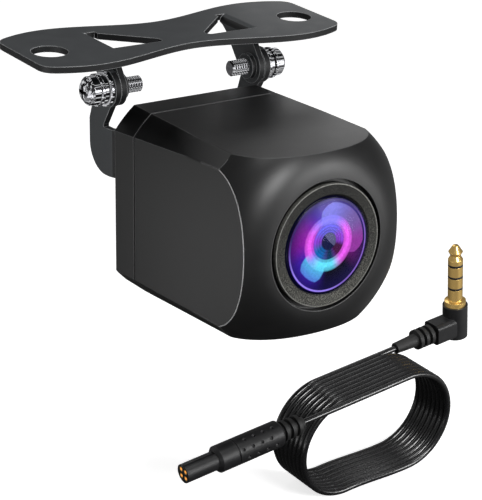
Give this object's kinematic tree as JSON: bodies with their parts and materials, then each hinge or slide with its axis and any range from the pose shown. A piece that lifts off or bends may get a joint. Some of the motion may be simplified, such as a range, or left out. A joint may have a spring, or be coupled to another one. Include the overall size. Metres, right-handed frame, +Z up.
{
  "type": "backup camera",
  "caption": "Small square camera head with a domed nose and round wide-angle lens, tilting in a U-bracket under a bow-tie mounting plate, with a cable tail.",
  "frame": {"origin": "centre of the bracket plate's top face, midway between its two mounting holes", "axes": "+Z up out of the mounting face, +X to the right seen from the front, lens towards -Y"},
  "size_m": [0.0707, 0.0812, 0.069],
  "materials": {
    "powder_coat": "satin",
    "bright_steel": "polished",
    "black_shell": "satin",
    "bezel_plastic": "satin",
    "trim_metal": "brushed",
    "lens_glass": "polished",
    "barrel_metal": "matte",
    "soft_rubber": "matte",
    "cable_sheath": "satin",
    "board_green": "satin",
    "chip_black": "matte",
    "gold_contact": "polished",
    "wire_sheath": "satin"
  },
  "bodies": {
    "bracket": {"mounting_plate": "powder_coat"},
    "left_screw": {"left_pivot_screw": "bright_steel", "left_spring_washer": "bright_steel", "left_screw_washer": "bright_steel"},
    "right_screw": {"right_pivot_screw": "bright_steel", "right_spring_washer": "bright_steel", "right_screw_washer": "bright_steel"},
    "cable": {"pigtail_cable": "cable_sheath", "relief_sleeve": "soft_rubber", "socket_shell": "chip_black", "socket_seal": "soft_rubber", "socket_insert": "chip_black", "socket_contacts": "gold_contact"},
    "lead": {"jack_bands": "chip_black", "jack_body": "chip_black", "jack_pin": "gold_contact", "jack_relief": "soft_rubber", "lead_cable": "cable_sheath", "plug_core": "chip_black", "plug_relief": "soft_rubber", "plug_shell": "chip_black", "plug_sockets": "gold_contact"},
    "head": {"aperture_stop": "barrel_metal", "arm_washers": "bright_steel", "board_chips": "chip_black", "board_connector": "chip_black", "board_screws": "bright_steel", "board_spacers": "trim_metal", "bracket_screws": "bright_steel", "cable_gland": "soft_rubber", "cable_tail": "cable_sheath", "cover_gasket": "soft_rubber", "cover_screws": "bright_steel", "fourth_lens": "lens_glass", "front_housing": "black_shell", "front_lens": "lens_glass", "holder_screws": "bright_steel", "image_sensor": "chip_black", "inner_wires": "wire_sheath", "ir_filter": "lens_glass", "lens_barrel": "barrel_metal", "lens_bezel": "bezel_plastic", "lens_holder": "chip_black", "lens_o_ring": "soft_rubber", "power_board": "board_green", "rear_cover": "black_shell", "rear_retainer": "barrel_metal", "second_lens": "lens_glass", "sensor_board": "board_green", "third_lens": "lens_glass", "trim_ring": "trim_metal", "u_bracket": "powder_coat", "wire_plug": "chip_black"}
  },
  "joints": [
    {"name": "head_tilt", "type": "hinge", "parent": "bracket", "child": "head", "pos_m": [0, -0.0027, -0.0061], "axis": [1, 0, 0], "range_deg": [-45, 45], "stiffness_Nm_per_rad": 0.5},
    {"name": "cable_bend", "type": "hinge", "parent": "head", "child": "cable", "pos_m": [0, 0.00109, -0.02932], "axis": [1, 0, 0], "range_deg": [-45, 45]},
    {"name": "left_screw_turn", "type": "hinge", "parent": "bracket", "child": "left_screw", "pos_m": [0, -0.0027, -0.0061], "axis": [-1, 0, 0], "range_deg": [0, 360]},
    {"name": "right_screw_turn", "type": "hinge", "parent": "bracket", "child": "right_screw", "pos_m": [0, -0.0027, -0.0061], "axis": [1, 0, 0], "range_deg": [0, 360]},
    {"name": "lead_away", "type": "slide", "parent": "bracket", "child": "lead", "axis": [1, 0, 0], "range_m": [0, 0.03]}
  ],
  "couplings": [
    {"joint": "cable_bend", "follows": "head_tilt", "ratio": -1}
  ]
}
